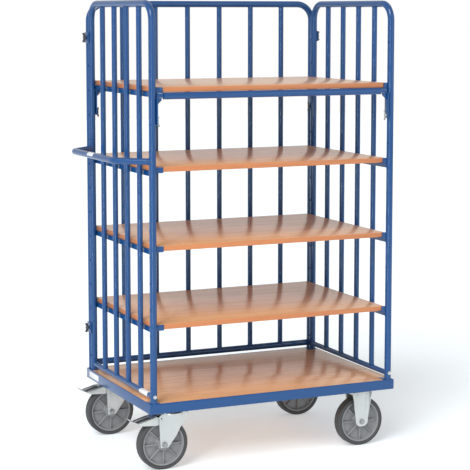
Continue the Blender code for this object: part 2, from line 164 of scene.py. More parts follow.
def soften(obj, width, segments=2, angle=35):
    """Rounds the edges of a piece and shades it."""
    only(obj)
    edges = obj.modifiers.new("edges", "BEVEL")
    edges.width = width
    edges.segments = segments
    edges.limit_method = "ANGLE"
    edges.angle_limit = radians(30)
    bpy.ops.object.modifier_apply(modifier="edges")
    bpy.ops.object.shade_smooth_by_angle(angle=radians(angle))
    return obj


def welded(parts, operation="UNION"):
    """One piece from the first of the parts and all the others."""
    base = parts[0]
    for other in parts[1:]:
        only(base)
        joint = base.modifiers.new("joint", "BOOLEAN")
        joint.operation = operation
        joint.solver = "EXACT"
        joint.object = other
        bpy.ops.object.modifier_apply(modifier="joint")
        bpy.data.objects.remove(other)
    return base


def gathered(parts):
    """The parts as one object, each still its own shell."""
    bpy.ops.object.select_all(action="DESELECT")
    for part in parts:
        part.select_set(True)
    bpy.context.view_layer.objects.active = parts[0]
    bpy.ops.object.join()
    return parts[0]


def faces_at(obj, axis, value):
    """Selects the faces that lie at a height along one axis, in edit mode."""
    only(obj)
    bpy.ops.object.mode_set(mode="EDIT")
    bpy.ops.mesh.select_mode(type="FACE")
    bpy.ops.mesh.select_all(action="DESELECT")
    bpy.ops.object.mode_set(mode="OBJECT")
    for face in obj.data.polygons:
        facing = abs(face.normal[axis]) > 0.9
        face.select = facing and abs(face.center[axis] - value) < 0.0002
    bpy.ops.object.mode_set(mode="EDIT")


def into(obj, thickness, depth):
    """Insets what is selected and pushes it in or out along Z."""
    bpy.ops.mesh.inset(thickness=thickness)
    bpy.ops.mesh.extrude_region_move(TRANSFORM_OT_translate={"value": (0, 0, depth)})
    bpy.ops.object.mode_set(mode="OBJECT")


def surface_group():
    """Slow changes of tone, patchy gloss and a fine bump, shared by every finish."""
    group = bpy.data.node_groups.new("surface_variation", "ShaderNodeTree")
    sockets = group.interface
    sockets.new_socket("Color", in_out="INPUT", socket_type="NodeSocketColor")
    for name, start in (
        ("Tone spread", 0.06), ("Patch scale", 6.0), ("Roughness", 0.4),
        ("Roughness spread", 0.1), ("Grain scale", 400.0), ("Grain height", 0.1),
    ):
        socket = sockets.new_socket(name, in_out="INPUT", socket_type="NodeSocketFloat")
        socket.default_value = start
    sockets.new_socket("Color", in_out="OUTPUT", socket_type="NodeSocketColor")
    sockets.new_socket("Roughness", in_out="OUTPUT", socket_type="NodeSocketFloat")
    sockets.new_socket("Normal", in_out="OUTPUT", socket_type="NodeSocketVector")
    nodes = group.nodes
    link = group.links.new
    given = nodes.new("NodeGroupInput")
    put = nodes.new("NodeGroupOutput")
    place = nodes.new("ShaderNodeTexCoord")
    patches = nodes.new("ShaderNodeTexNoise")
    patches.inputs["Detail"].default_value = 5
    link(place.outputs["Object"], patches.inputs["Vector"])
    link(given.outputs["Patch scale"], patches.inputs["Scale"])
    centred = nodes.new("ShaderNodeMath")
    centred.operation = "SUBTRACT"
    centred.inputs[1].default_value = 0.5
    link(patches.outputs["Fac"], centred.inputs[0])
    tone = nodes.new("ShaderNodeMath")
    tone.operation = "MULTIPLY_ADD"
    tone.inputs[2].default_value = 1.0
    link(centred.outputs[0], tone.inputs[0])
    link(given.outputs["Tone spread"], tone.inputs[1])
    shade = nodes.new("ShaderNodeVectorMath")
    shade.operation = "SCALE"
    link(given.outputs["Color"], shade.inputs[0])
    link(tone.outputs[0], shade.inputs["Scale"])
    link(shade.outputs[0], put.inputs["Color"])
    smears = nodes.new("ShaderNodeTexNoise")
    smears.inputs["Scale"].default_value = 28
    smears.inputs["Detail"].default_value = 4
    link(place.outputs["Object"], smears.inputs["Vector"])
    lift = nodes.new("ShaderNodeMath")
    lift.operation = "SUBTRACT"
    lift.inputs[1].default_value = 0.5
    link(smears.outputs["Fac"], lift.inputs[0])
    gloss = nodes.new("ShaderNodeMath")
    gloss.operation = "MULTIPLY_ADD"
    link(lift.outputs[0], gloss.inputs[0])
    link(given.outputs["Roughness spread"], gloss.inputs[1])
    link(given.outputs["Roughness"], gloss.inputs[2])
    link(gloss.outputs[0], put.inputs["Roughness"])
    grain = nodes.new("ShaderNodeTexNoise")
    grain.inputs["Detail"].default_value = 2
    link(place.outputs["Object"], grain.inputs["Vector"])
    link(given.outputs["Grain scale"], grain.inputs["Scale"])
    bump = nodes.new("ShaderNodeBump")
    bump.inputs["Distance"].default_value = 0.0004
    link(given.outputs["Grain height"], bump.inputs["Strength"])
    link(grain.outputs["Fac"], bump.inputs["Height"])
    link(bump.outputs["Normal"], put.inputs["Normal"])
    return group


SURFACE = surface_group()


def finish_of(name, colour, metallic=0.0, specular=0.5, **values):
    """A material that takes its tone, gloss and bump from the shared surface group."""
    material = bpy.data.materials.new(name)
    material.use_nodes = True
    tree = material.node_tree
    shader = tree.nodes["Principled BSDF"]
    shader.inputs["Metallic"].default_value = metallic
    shader.inputs["Specular IOR Level"].default_value = specular
    skin = tree.nodes.new("ShaderNodeGroup")
    skin.node_tree = SURFACE
    skin.inputs["Color"].default_value = (*colour, 1)
    for socket, value in values.items():
        skin.inputs[socket.replace("_", " ")].default_value = value
    tree.links.new(skin.outputs["Color"], shader.inputs["Base Color"])
    tree.links.new(skin.outputs["Roughness"], shader.inputs["Roughness"])
    tree.links.new(skin.outputs["Normal"], shader.inputs["Normal"])
    return material


POWDER_BLUE = finish_of(
    "powder_coat_blue", (0.007, 0.068, 0.225), specular=0.50, Tone_spread=0.10, Patch_scale=3.0,
    Roughness=0.15, Roughness_spread=0.06, Grain_scale=520.0, Grain_height=0.06,
)


def install(obj, name, finish, nodes=(), body="chassis"):
    """Gives a finished piece its name, finish and place among the bodies."""
    obj.name = name
    obj.data.name = name
    if finish is not None:
        obj.data.materials.clear()
        obj.data.materials.append(finish)
    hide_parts(*nodes)
    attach(obj, body)
    return obj


HALF_LENGTH = 0.530
HALF_DEPTH = 0.360
WALL = 0.004
LEDGE = 0.041
BOARD = 0.019
CORNER_X = 0.045
CORNER_Y = 0.057
CHANNELS = ((-0.520, -0.354), (-0.025, 0.025), (0.354, 0.520))
CHANNEL_HALF = 0.3545
DECK_TOP = deck_high.z
LEDGE_TOP = DECK_TOP - BOARD - 0.0003
LEDGE_UNDER = LEDGE_TOP - 0.003

ring = block(deck_low, deck_high)
faces_at(ring, 2, deck_high.z)
into(ring, WALL, LEDGE_TOP - deck_high.z)
faces_at(ring, 2, deck_low.z)
into(ring, WALL, LEDGE_UNDER - deck_low.z)
faces_at(ring, 2, LEDGE_TOP)
bpy.ops.mesh.inset(thickness=LEDGE)
bpy.ops.object.mode_set(mode="OBJECT")
faces_at(ring, 2, LEDGE_UNDER)
bpy.ops.mesh.inset(thickness=LEDGE)
bpy.ops.object.mode_set(mode="OBJECT")
for face in ring.data.polygons:
    inside = abs(face.center.x - MIDDLE) < 0.01 and abs(face.center.y) < 0.01
    level = min(abs(face.center.z - LEDGE_TOP), abs(face.center.z - LEDGE_UNDER)) < 0.0002
    face.select = inside and level
bpy.ops.object.mode_set(mode="EDIT")
bpy.ops.mesh.bridge_edge_loops()
bpy.ops.object.mode_set(mode="OBJECT")
soften(ring, 0.0012, 3)

steel = [ring]
for sx in (-1, 1):
    for sy in (-1, 1):
        xs = sorted((
            MIDDLE + sx * (HALF_LENGTH - WALL - 0.001), MIDDLE + sx * (HALF_LENGTH - CORNER_X)
        ))
        ys = sorted((sy * (HALF_DEPTH - WALL - 0.001), sy * (HALF_DEPTH - CORNER_Y)))
        corner = block((xs[0], ys[0], DECK_TOP - 0.010), (xs[1], ys[1], DECK_TOP - 0.0002))
        steel.append(soften(corner, 0.0010))
for low_x, high_x in CHANNELS:
    channel = block(
        (MIDDLE + low_x, -CHANNEL_HALF, deck_low.z + 0.0005),
        (MIDDLE + high_x, CHANNEL_HALF, LEDGE_UNDER + 0.0005),
    )
    steel.append(soften(channel, 0.0020, 3))
install(gathered(steel), "deck_frame_steel", POWDER_BLUE, ["deck_frame"])


# Deck board and shelf boards: 19 mm chipboard faced with beech-look laminate, with a coloured
# edge band all round. The deck board lies in the frame, notched round the corner plates.
def beech_group():
    """Long plain grain with short dark flecks, running along X."""
    group = bpy.data.node_groups.new("beech_grain", "ShaderNodeTree")
    sockets = group.interface
    sockets.new_socket("Light wood", in_out="INPUT", socket_type="NodeSocketColor")
    sockets.new_socket("Dark wood", in_out="INPUT", socket_type="NodeSocketColor")
    sockets.new_socket("Color", in_out="OUTPUT", socket_type="NodeSocketColor")
    sockets.new_socket("Flecks", in_out="OUTPUT", socket_type="NodeSocketFloat")
    nodes = group.nodes
    link = group.links.new
    given = nodes.new("NodeGroupInput")
    put = nodes.new("NodeGroupOutput")
    place = nodes.new("ShaderNodeTexCoord")
    long_grain = nodes.new("ShaderNodeMapping")
    long_grain.inputs["Scale"].default_value = (1.1, 21, 21)
    link(place.outputs["Object"], long_grain.inputs["Vector"])
    figure = nodes.new("ShaderNodeTexNoise")
    figure.inputs["Scale"].default_value = 2.2
    figure.inputs["Detail"].default_value = 7
    figure.inputs["Distortion"].default_value = 0.9
    link(long_grain.outputs["Vector"], figure.inputs["Vector"])
    ramp = nodes.new("ShaderNodeMapRange")
    ramp.inputs["From Min"].default_value = 0.32
    ramp.inputs["From Max"].default_value = 0.68
    link(figure.outputs["Fac"], ramp.inputs["Value"])
    wood = nodes.new("ShaderNodeMix")
    wood.data_type = "RGBA"
    link(ramp.outputs["Result"], wood.inputs[0])
    link(given.outputs["Light wood"], wood.inputs[6])
    link(given.outputs["Dark wood"], wood.inputs[7])
    short_marks = nodes.new("ShaderNodeMapping")
    short_marks.inputs["Scale"].default_value = (95, 900, 900)
    link(place.outputs["Object"], short_marks.inputs["Vector"])
    flecks = nodes.new("ShaderNodeTexNoise")
    flecks.inputs["Scale"].default_value = 1.0
    flecks.inputs["Detail"].default_value = 1
    link(short_marks.outputs["Vector"], flecks.inputs["Vector"])
    picked = nodes.new("ShaderNodeMapRange")
    picked.inputs["From Min"].default_value = 0.62
    picked.inputs["From Max"].default_value = 0.72
    picked.inputs["To Max"].default_value = 0.30
    link(flecks.outputs["Fac"], picked.inputs["Value"])
    marked = nodes.new("ShaderNodeMix")
    marked.data_type = "RGBA"
    link(picked.outputs["Result"], marked.inputs[0])
    link(wood.outputs[2], marked.inputs[6])
    marked.inputs[7].default_value = (0.30, 0.11, 0.04, 1)
    link(marked.outputs[2], put.inputs["Color"])
    link(picked.outputs["Result"], put.inputs["Flecks"])
    return group


BEECH_GRAIN = beech_group()


def beech(name, light, dark, roughness):
    material = bpy.data.materials.new(name)
    material.use_nodes = True
    tree = material.node_tree
    shader = tree.nodes["Principled BSDF"]
    shader.inputs["Specular IOR Level"].default_value = 0.65
    wood = tree.nodes.new("ShaderNodeGroup")
    wood.node_tree = BEECH_GRAIN
    wood.inputs["Light wood"].default_value = (*light, 1)
    wood.inputs["Dark wood"].default_value = (*dark, 1)
    skin = tree.nodes.new("ShaderNodeGroup")
    skin.node_tree = SURFACE
    skin.inputs["Tone spread"].default_value = 0.10
    skin.inputs["Patch scale"].default_value = 2.5
    skin.inputs["Roughness"].default_value = roughness
    skin.inputs["Roughness spread"].default_value = 0.06
    skin.inputs["Grain scale"].default_value = 260
    skin.inputs["Grain height"].default_value = 0.06
    tree.links.new(wood.outputs["Color"], skin.inputs["Color"])
    tree.links.new(skin.outputs["Color"], shader.inputs["Base Color"])
    tree.links.new(skin.outputs["Roughness"], shader.inputs["Roughness"])
    tree.links.new(skin.outputs["Normal"], shader.inputs["Normal"])
    return material


BEECH_FACE = beech("beech_laminate", (0.82, 0.47, 0.250), (0.68, 0.36, 0.170), 0.24)
BEECH_EDGE = beech("beech_edge_band", (0.62, 0.225, 0.082), (0.55, 0.19, 0.066), 0.42)


def banded(board, name, node):
    """Rounds the board's edges slightly and gives its narrow sides the edge band."""
    soften(board, 0.0008)
    install(board, name, BEECH_FACE, [node])
    board.data.materials.append(BEECH_EDGE)
    for face in board.data.polygons:
        face.material_index = 1 if abs(face.normal.z) < 0.5 else 0
    return board


low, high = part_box("deck_board")
deck_board = block(low, high)
notches = []
for sx in (-1, 1):
    for sy in (-1, 1):
        xs = sorted((MIDDLE + sx * 0.56, MIDDLE + sx * (HALF_LENGTH - CORNER_X)))
        ys = sorted((sy * 0.38, sy * (HALF_DEPTH - CORNER_Y)))
        notches.append(block((xs[0], ys[0], low.z - 0.01), (xs[1], ys[1], high.z + 0.01)))
welded([deck_board, *notches], "DIFFERENCE")
banded(deck_board, "deck_board_beech", "deck_board")
for number in (1, 2, 3, 4):
    low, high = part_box(f"shelf_{number}_board")
    banded(block(low, high), f"shelf_{number}_board_beech", f"shelf_{number}_board")


# Walls: arches of bent round tube on the deck, with upright bars and a bottom rail of tube welded
# in. The arches of the end walls have a row of through holes for the shelf hooks.
def rounded_path(corners, radius, steps=10):
    """A line through the corners, each turned on an arc."""
    points = [Vector(corners[0])]
    for before, corner, after in zip(corners, corners[1:], corners[2:]):
        corner = Vector(corner)
        back = (Vector(before) - corner).normalized()
        on = (Vector(after) - corner).normalized()
        half = back.angle(on) / 2
        reach = radius / tan(half)
        centre = corner + (back + on).normalized() * (radius / sin(half))
        start = corner + back * reach - centre
        axis = start.cross(corner + on * reach - centre).normalized()
        sweep = pi - 2 * half
        for n in range(steps + 1):
            points.append(centre + Matrix.Rotation(sweep * n / steps, 3, axis) @ start)
    points.append(Vector(corners[-1]))
    return points


def tube(points, diameter, roundness=6):
    curve = bpy.data.curves.new("tube", "CURVE")
    curve.dimensions = "3D"
    curve.bevel_depth = diameter / 2
    curve.bevel_resolution = roundness
    curve.use_fill_caps = True
    line = curve.splines.new("POLY")
    line.points.add(len(points) - 1)
    for control, point in zip(line.points, points):
        control.co = (*point, 1)
    obj = bpy.data.objects.new("tube", curve)
    bpy.context.scene.collection.objects.link(obj)
    only(obj)
    bpy.ops.object.convert(target="MESH")
    obj = bpy.context.object
    bpy.ops.object.mode_set(mode="EDIT")
    bpy.ops.mesh.select_all(action="SELECT")
    bpy.ops.mesh.remove_doubles(threshold=0.00001)
    bpy.ops.mesh.normals_make_consistent(inside=False)
    bpy.ops.object.mode_set(mode="OBJECT")
    bpy.ops.object.shade_smooth_by_angle(angle=radians(40))
    return obj


def drum(start, end, radius, sides=24):
    """A round bar, pin or hole between two points."""
    start = Vector(start)
    end = Vector(end)
    along = end - start
    bpy.ops.object.select_all(action="DESELECT")
    bpy.ops.mesh.primitive_cylinder_add(
        vertices=sides, radius=radius, depth=along.length, location=(start + end) / 2,
        rotation=along.to_track_quat("Z", "Y").to_euler(),
    )
    return settle(bpy.context.object)


def bead(centre, along, radius, thickness=0.0016):
    """A fillet of weld round a bar."""
    bpy.ops.object.select_all(action="DESELECT")
    bpy.ops.mesh.primitive_torus_add(
        location=centre, rotation=Vector(along).to_track_quat("Z", "Y").to_euler(),
        major_radius=radius, minor_radius=thickness, major_segments=20, minor_segments=6,
    )
    bpy.ops.object.shade_smooth()
    return settle(bpy.context.object)


TUBE = 0.0269
BAR = 0.0213
BEND = 0.068
POST_X = 0.5095
FRONT_Y = -0.3450
REAR_Y = 0.3228
BACK_Y = 0.3500
RAIL_Z = 0.299
TOP_Z = cad_high.z - TUBE / 2
FOOT_Z = DECK_TOP + 0.0003
BACK_BAR_PITCH = 0.14557
END_BAR_PITCH = (REAR_Y - FRONT_Y) / 5
HOLE_PITCH = 0.100
HOLE_COUNT = 14
HOLE_RADIUS = 0.0045
FIRST_HOLE = 0.335
UP = Vector((0, 0, 1))


def barred_wall(first, last, bar_places, rail_diameter):
    """An arch from the first foot to the last, its bars and its bottom rail."""
    foot_a = Vector(first)
    foot_b = Vector(last)
    across = (foot_b - foot_a).normalized()
    peak_a = foot_a + UP * (TOP_Z - foot_a.z)
    peak_b = foot_b + UP * (TOP_Z - foot_b.z)
    arch = tube(rounded_path([foot_a, peak_a, peak_b, foot_b], BEND), TUBE)
    rail_a = Vector((foot_a.x, foot_a.y, RAIL_Z))
    rail_b = Vector((foot_b.x, foot_b.y, RAIL_Z))
    parts = [tube([rail_a, rail_b], rail_diameter)]
    parts.append(bead(rail_a + across * (TUBE / 2 - 0.0008), across, rail_diameter / 2))
    parts.append(bead(rail_b - across * (TUBE / 2 - 0.0008), across, rail_diameter / 2))
    for distance in bar_places:
        base = rail_a + across * distance
        head = base + UP * (TOP_Z - RAIL_Z)
        parts.append(tube([base, head], BAR))
        parts.append(bead(base + UP * (rail_diameter / 2 - 0.001), UP, BAR / 2))
        parts.append(bead(head - UP * (TUBE / 2 - 0.001), UP, BAR / 2))
    bars = gathered(parts)
    feet = [bead(foot_a + UP * 0.001, UP, TUBE / 2), bead(foot_b + UP * 0.001, UP, TUBE / 2)]
    return arch, bars, feet


for side, end in ((-1, "left"), (1, "right")):
    x = MIDDLE + side * POST_X
    arch, bars, feet = barred_wall(
        (x, FRONT_Y, FOOT_Z), (x, REAR_Y, FOOT_Z), [END_BAR_PITCH * n for n in (1, 2, 3, 4)], BAR
    )
    holes = []
    for y in (FRONT_Y, REAR_Y):
        for n in range(HOLE_COUNT):
            z = FIRST_HOLE + n * HOLE_PITCH
            holes.append(drum((x - 0.03, y, z), (x + 0.03, y, z), HOLE_RADIUS, 16))
    welded([arch, gathered(holes)], "DIFFERENCE")
    only(arch)
    bpy.ops.object.shade_smooth_by_angle(angle=radians(40))
    install(gathered([arch, *feet]), f"{end}_wall_arch", POWDER_BLUE, [f"{end}_end_wall"])
    install(bars, f"{end}_wall_bars", POWDER_BLUE)

arch, bars, feet = barred_wall(
    (MIDDLE - POST_X, BACK_Y, FOOT_Z), (MIDDLE + POST_X, BACK_Y, FOOT_Z),
    [POST_X + (n - 2.5) * BACK_BAR_PITCH for n in range(6)], TUBE - 0.0006,
)
install(gathered([arch, *feet]), "back_wall_arch", POWDER_BLUE, ["back_wall"])
install(bars, "back_wall_bars", POWDER_BLUE)


# Push handle: one bent tube across the handle end, welded to the front and the rear post.
HANDLE_Z = 1.197
HANDLE_TUBE = 0.025
HANDLE_SKIN = 0.0127
GRIP_X = MIDDLE - 0.625
grip_front = Vector((GRIP_X, -0.240, HANDLE_Z))
grip_rear = Vector((GRIP_X, 0.218, HANDLE_Z))
front_post = Vector((MIDDLE - POST_X, FRONT_Y, HANDLE_Z))
rear_post = Vector((MIDDLE - POST_X, REAR_Y, HANDLE_Z))
handle_line = rounded_path([front_post, grip_front, grip_rear, rear_post], 0.045)
handle = tube(handle_line, HANDLE_TUBE, 7)
welds = []
for post, corner in ((front_post, grip_front), (rear_post, grip_rear)):
    slope = (corner - post).normalized()
    welds.append(bead(post + slope * (TUBE / 2 + 0.0004), slope, HANDLE_SKIN, 0.0018))
install(gathered([handle, *welds]), "push_handle_tube", POWDER_BLUE, ["push_handle"])


# Shelf rails: an angle of sheet steel at each end of a shelf, hooked into the post holes, with a
# tab at the front that covers the corner of the board.
RAIL_OUT = 0.4957
SHEET = 0.003


def between(x0, x1, y0, y1, z0, z1):
    """A block between two distances from the middle of the deck, given in either order."""
    xs = sorted((MIDDLE + x0, MIDDLE + x1))
    return block((xs[0], y0, z0), (xs[1], y1, z1))


for number in (1, 2, 3, 4):
    low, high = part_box(f"shelf_{number}_board")
    for side, end, tab in ((-1, "left", 0.0295), (1, "right", 0.0165)):
        outer = side * RAIL_OUT
        front = low.y - 0.0033
        under = low.z - 0.0003
        web = between(outer, side * (RAIL_OUT - SHEET), front, high.y, under - 0.0197, under)
        ledge_front = -0.328 if number == 4 else front
        ledge = between(outer, side * (RAIL_OUT - 0.030), ledge_front, high.y, under - SHEET, under)
        cover = between(
            outer, side * (RAIL_OUT - tab), front, low.y - 0.0003, under - SHEET, high.z
        )
        rail = welded([web, ledge, cover])
        bores = []
        for y in (-0.300, 0.290):
            start = (MIDDLE + outer - 0.01, y, under - 0.011)
            bores.append(drum(start, (start[0] + 0.02, y, under - 0.011), 0.0035, 16))
        welded([rail, *bores], "DIFFERENCE")
        soften(rail, 0.0005, 2)
        install(rail, f"shelf_{number}_angle_{end}", POWDER_BLUE, [f"shelf_{number}_rail_{end}"])


# Cross tube and hangers: the top shelf ties the two end walls. A tube runs under its front edge
# and a strip with a gusset takes the load down each post to a wing nut.
low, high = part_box("top_cross_tube")
cross_z = (low.z + high.z) / 2
cross_y = (low.y + high.y) / 2
CROSS_HALF = 0.464
HANGER_TOP = 1.4355
cross_left = Vector((MIDDLE - CROSS_HALF, cross_y, cross_z))
cross_right = Vector((MIDDLE + CROSS_HALF, cross_y, cross_z))
cross = tube([cross_left, cross_right], TUBE)
arms = []
for side in (-1, 1):
    arm = between(side * 0.450, side * 0.4922, cross_y - 0.006, cross_y + 0.006,
                  HANGER_TOP + 0.0005, cross_z + 0.0094)
    arms.append(soften(arm, 0.0012))
install(gathered([cross, *arms]), "top_cross_tube_front", POWDER_BLUE, ["top_cross_tube"])

for side, end in ((-1, "left"), (1, "right")):
    for face, y in (("front", FRONT_Y), ("rear", REAR_Y)):
        node = f"hanger_{face}_{end}"
        low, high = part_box(node)
        strip = between(side * RAIL_OUT, side * (RAIL_OUT - 0.004), low.y, high.y, low.z, high.z)
        soften(strip, 0.0012)
        gusset = between(side * (RAIL_OUT - 0.002), side * (RAIL_OUT - 0.024), y - 0.0025,
                         y + 0.0025, high.z - 0.031, high.z - 0.0001)
        inner = MIDDLE + side * (RAIL_OUT - 0.024)
        for corner in gusset.data.vertices:
            if abs(corner.co.x - inner) < 0.001 and corner.co.z < high.z - 0.02:
                corner.co.z = high.z - 0.009
        soften(gusset, 0.0008)
        install(gathered([strip, gusset]), f"hanger_strip_{face}_{end}", POWDER_BLUE, [node])


# Wing nuts, lugs and foot bolts: zinc-plated fasteners; the wall wing nuts are dark steel, and
# the rear hanger nuts, zinc like the front ones, are darkened as painted shade. A lug plate bridges
# the two tubes at each rear corner, and a wing nut outside it clamps the back wall to the end wall.
ZINC = finish_of(
    "zinc_plate", (0.60, 0.62, 0.61), 0.85, Tone_spread=0.14, Patch_scale=26.0,
    Roughness=0.34, Roughness_spread=0.16, Grain_scale=700.0, Grain_height=0.05,
)

# Dark steel for the wall wing nuts, and painted shade on the rear hanger nuts.
DARK_STEEL_AND_PAINTED_SHADE = finish_of(
    "dark_steel_and_painted_shade", (0.13, 0.13, 0.14), 0.75, Tone_spread=0.30, Patch_scale=40.0,
    Roughness=0.38, Roughness_spread=0.20, Grain_scale=700.0, Grain_height=0.08,
)


WING_ROOT = 0.004
WING_TIP = 0.0195
WING_HALF = 0.0016


def wing_nut(name, node, finish):
    """A hub on a bolt end with two rounded wings that lean outwards."""
    low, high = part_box(node)
    centre = (low + high) / 2
    out = -1 if (centre.x - MIDDLE) * (abs(centre.x - MIDDLE) - POST_X) < 0 else 1
    seat = low.x if out > 0 else high.x
    depth = high.x - low.x
    start = Vector((seat, centre.y, centre.z))
    hub = drum(start, (seat + out * depth * 0.62, centre.y, centre.z), 0.0072, 20)
    bolt = drum(start, (seat + out * depth * 0.80, centre.y, centre.z), 0.0038, 16)
    parts = [soften(hub, 0.0012), soften(bolt, 0.0006)]
    for way in (-1, 1):
        xs = sorted((0, out * depth))
        zs = sorted((way * WING_ROOT, way * WING_TIP))
        wing = block(
            (seat + xs[0], centre.y - WING_HALF, centre.z + zs[0]),
            (seat + xs[1], centre.y + WING_HALF, centre.z + zs[1]),
        )
        for corner in wing.data.vertices:
            is_tip = abs(corner.co.z - centre.z) > 0.01
            near_seat = abs(corner.co.x - seat) < depth * 0.5
            if near_seat:
                corner.co.x += out * depth * (0.42 if is_tip else 0.12)
            elif not is_tip:
                corner.co.x -= out * depth * 0.30
        only(wing)
        bpy.ops.object.mode_set(mode="EDIT")
        bpy.ops.mesh.select_mode(type="EDGE")
        bpy.ops.mesh.select_all(action="DESELECT")
        bpy.ops.object.mode_set(mode="OBJECT")
        for edge in wing.data.edges:
            a, b = (wing.data.vertices[v].co for v in edge.vertices)
            runs_along_y = abs(a.z - b.z) < 0.0001 and abs(a.x - b.x) < 0.0001
            edge.select = runs_along_y and abs(a.z - centre.z) > 0.01
        bpy.ops.object.mode_set(mode="EDIT")
        bpy.ops.mesh.bevel(offset=0.0045, segments=5)
        bpy.ops.object.mode_set(mode="OBJECT")
        parts.append(soften(wing, 0.0006))
    install(gathered(parts), name, finish, [node])


def hexagon(centre, along, size, height):
    """A hexagon head or nut with a washer under it, standing on centre."""
    along = Vector(along)
    centre = Vector(centre)
    washer = drum(centre, centre + along * 0.0012, size * 1.12, 32)
    head = drum(centre + along * 0.0011, centre + along * height, size, 6)
    return [soften(washer, 0.0003), soften(head, 0.0008)]


for side, end in ((-1, "left"), (1, "right")):
    for face in ("front", "rear"):
        # The rear hanger nuts are the same zinc nuts as the front ones, darkened as painted shade.
        zinc_front_painted_shade_rear = ZINC if face == "front" else DARK_STEEL_AND_PAINTED_SHADE
        wing_nut(f"hanger_wing_nut_{face}_{end}", f"hanger_nut_{face}_{end}", zinc_front_painted_shade_rear)
    for level in ("lower", "upper"):
        wing_nut(f"wall_wing_nut_{level}_{end}", f"wall_nut_{level}_{end}", DARK_STEEL_AND_PAINTED_SHADE)
        low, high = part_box(f"wall_lug_{level}_{end}")
        lug = soften(block(low, high), 0.0010, 3)
        install(lug, f"wall_lug_plate_{level}_{end}", POWDER_BLUE, [f"wall_lug_{level}_{end}"])
    low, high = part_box(f"foot_bolt_{end}")
    middle = (low + high) / 2
    bolt = hexagon((middle.x, high.y, middle.z), (0, -1, 0), 0.0065, high.y - low.y)
    install(gathered(bolt), f"foot_bolt_head_{end}", ZINC, [f"foot_bolt_{end}"])


# Wheels: a moulded grey rim with a hub, a thin disc and radial ribs on both faces, and a solid
# rubber tyre pressed over it.
RUBBER = finish_of(
    "grey_rubber", (0.050, 0.051, 0.053), Tone_spread=0.20, Patch_scale=14.0,
    Roughness=0.62, Roughness_spread=0.14, Grain_scale=900.0, Grain_height=0.20,
)
NYLON = finish_of(
    "grey_nylon", (0.250, 0.255, 0.260), Tone_spread=0.14, Patch_scale=20.0,
    Roughness=0.42, Roughness_spread=0.12, Grain_scale=1200.0, Grain_height=0.12,
)
WHEEL_RADIUS = 0.100
TYRE_HALF = 0.022
RIM_RADIUS = 0.0845
RIM_HALF = 0.0185
HUB_RADIUS = 0.026
HUB_HALF = 0.025
DISC_HALF = 0.0045
RIB_COUNT = 8
RIB_HALF = 0.0024


def turned(profile, centre, steps=96):
    """A closed profile of radius and width, turned about a line along Y."""
    mesh = bpy.data.meshes.new("turned")
    corners = [(radius, across, 0) for radius, across in profile]
    mesh.from_pydata(corners, [(n, (n + 1) % len(corners)) for n in range(len(corners))], [])
    obj = bpy.data.objects.new("turned", mesh)
    bpy.context.scene.collection.objects.link(obj)
    only(obj)
    bpy.ops.object.mode_set(mode="EDIT")
    bpy.ops.mesh.select_all(action="SELECT")
    bpy.ops.mesh.spin(steps=steps, angle=2 * pi, center=(0, 0, 0), axis=(0, 1, 0))
    bpy.ops.mesh.select_all(action="SELECT")
    bpy.ops.mesh.remove_doubles(threshold=0.00002)
    bpy.ops.mesh.normals_make_consistent(inside=False)
    bpy.ops.object.mode_set(mode="OBJECT")
    bpy.ops.object.shade_smooth_by_angle(angle=radians(32))
    obj.location = centre
    return settle(obj)


def arc(centre, radius, start, end, steps=5):
    """Points on a round edge of a profile, from one angle in degrees to another."""
    angles = [radians(start + (end - start) * n / steps) for n in range(steps + 1)]
    return [(centre[0] + radius * cos(a), centre[1] + radius * sin(a)) for a in angles]


def wheel(tag):
    low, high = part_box(f"tyre_{tag}")
    centre = (low + high) / 2
    groove_floor = WHEEL_RADIUS - 0.0010
    groove = [
        (WHEEL_RADIUS, 0.0085), (groove_floor, 0.0078),
        (groove_floor, 0.0066), (WHEEL_RADIUS, 0.0059),
    ]
    half = [(RIM_RADIUS + 0.0003, RIM_HALF), (RIM_RADIUS + 0.003, TYRE_HALF - 0.0005)]
    half += arc((WHEEL_RADIUS - 0.006, TYRE_HALF - 0.006), 0.006, 80, 0)
    half += groove
    tread = [*half, *[(radius, -across) for radius, across in reversed(half)]]
    tyre = turned(tread, centre)
    install(tyre, f"tyre_rubber_{tag}", RUBBER, [f"tyre_{tag}"], f"wheel_{tag}")
    half = [
        (0.0061, HUB_HALF), (HUB_RADIUS - 0.004, HUB_HALF), (HUB_RADIUS - 0.002, HUB_HALF - 0.002),
        (HUB_RADIUS, 0.008), (HUB_RADIUS + 0.004, DISC_HALF), (RIM_RADIUS - 0.012, DISC_HALF),
        (RIM_RADIUS - 0.0075, 0.010), (RIM_RADIUS - 0.006, RIM_HALF - 0.001),
        (RIM_RADIUS - 0.0052, RIM_HALF), (RIM_RADIUS, RIM_HALF),
    ]
    profile = [*half, *[(radius, -across) for radius, across in reversed(half)]]
    parts = [turned(profile, centre)]
    for n in range(RIB_COUNT):
        angle = 2 * pi * n / RIB_COUNT
        rib = block(
            (HUB_RADIUS - 0.003, -RIM_HALF, -RIB_HALF), (RIM_RADIUS - 0.0055, RIM_HALF, RIB_HALF)
        )
        for corner in rib.data.vertices:
            if corner.co.x > 0.05:
                corner.co.y *= 0.84
                corner.co.z *= 0.8
        soften(rib, 0.0014, 3)
        rib.rotation_euler = (0, angle, 0)
        rib.location = centre
        parts.append(settle(rib))
    rim = gathered(parts)
    install(rim, f"rim_ribbed_{tag}", NYLON, [f"rim_{tag}"], f"wheel_{tag}")


for tag in ("front_left", "rear_left", "front_right", "rear_right"):
    wheel(tag)


# Casters: a bolted plate and a pressed fork in zinc plate and an axle bolt in zinc darkened as
# painted shade, so that its nuts stand out against the fork. The two at the handle end swivel on a
# ball race with a red seal and have a brake pedal with a black tread; the other two are fixed.
FORK_OUTER = 0.032
FORK_SHEET = 0.004
AXLE_BORE = 0.0063
PIN_BORE = 0.0030
SWIVEL_RING = 0.034
BRIDGE_HALF = 0.0315
CROWN_TOP = 0.222
CROWN_UNDER = 0.212


